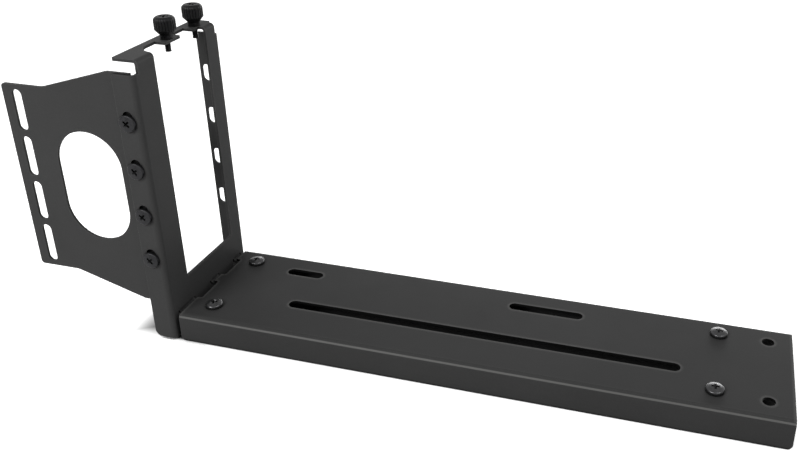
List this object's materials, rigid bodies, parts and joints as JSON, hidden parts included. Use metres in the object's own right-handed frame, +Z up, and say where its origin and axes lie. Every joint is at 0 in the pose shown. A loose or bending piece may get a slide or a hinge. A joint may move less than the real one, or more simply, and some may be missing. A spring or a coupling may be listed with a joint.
{
  "type": "vertical graphics card mount",
  "caption": "Folded sheet metal mount that holds a graphics card upright: a slotted tray, a window frame with thumbscrews on its ledge, and a side wing for a case's card slots.",
  "frame": {"origin": "on the floor, under the middle of the mount's overall length and width, at rest", "axes": "+X along the tray, away from the frame; +Y across the tray, away from the wing's side; +Z up"},
  "size_m": [0.3188, 0.0634, 0.1349],
  "materials": {
    "powder_coat": "black powder coat on steel sheet, fine grain, low sheen",
    "screw_black": "black oxide, satin",
    "nut_black": "black oxide, dull",
    "thumbscrew_black": "black coating on a knurled steel head, satin"
  },
  "bodies": {
    "mount": {"tray": "powder_coat", "upright_frame": "powder_coat", "tray_screw_frame_front": "screw_black", "tray_screw_frame_rear": "screw_black", "tray_screw_far_front": "screw_black", "tray_screw_far_rear": "screw_black", "tray_nut_frame_front": "nut_black", "tray_nut_frame_rear": "nut_black", "tray_nut_far_front": "nut_black", "tray_nut_far_rear": "nut_black"},
    "wing": {"wing_plate": "powder_coat", "wing_screw_1": "screw_black", "wing_screw_2": "screw_black", "wing_screw_3": "screw_black", "wing_screw_4": "screw_black", "wing_nut_1": "nut_black", "wing_nut_2": "nut_black", "wing_nut_3": "nut_black", "wing_nut_4": "nut_black"},
    "thumb_front": {"thumbscrew_front": "thumbscrew_black"},
    "thumb_rear": {"thumbscrew_rear": "thumbscrew_black"}
  },
  "joints": [
    {"name": "wing_slide", "type": "slide", "parent": "mount", "child": "wing", "axis": [0, 0, 1], "range_m": [-0.001, 0.0028]},
    {"name": "thumbscrew_front_turn", "type": "hinge", "parent": "mount", "child": "thumb_front", "pos_m": [-0.10225, 0.0027, 0.1256], "axis": [0, 0, 1], "range_deg": [0, 2700]},
    {"name": "thumbscrew_rear_turn", "type": "hinge", "parent": "mount", "child": "thumb_rear", "pos_m": [-0.10225, 0.02302, 0.1256], "axis": [0, 0, 1], "range_deg": [0, 2700]}
  ]
}
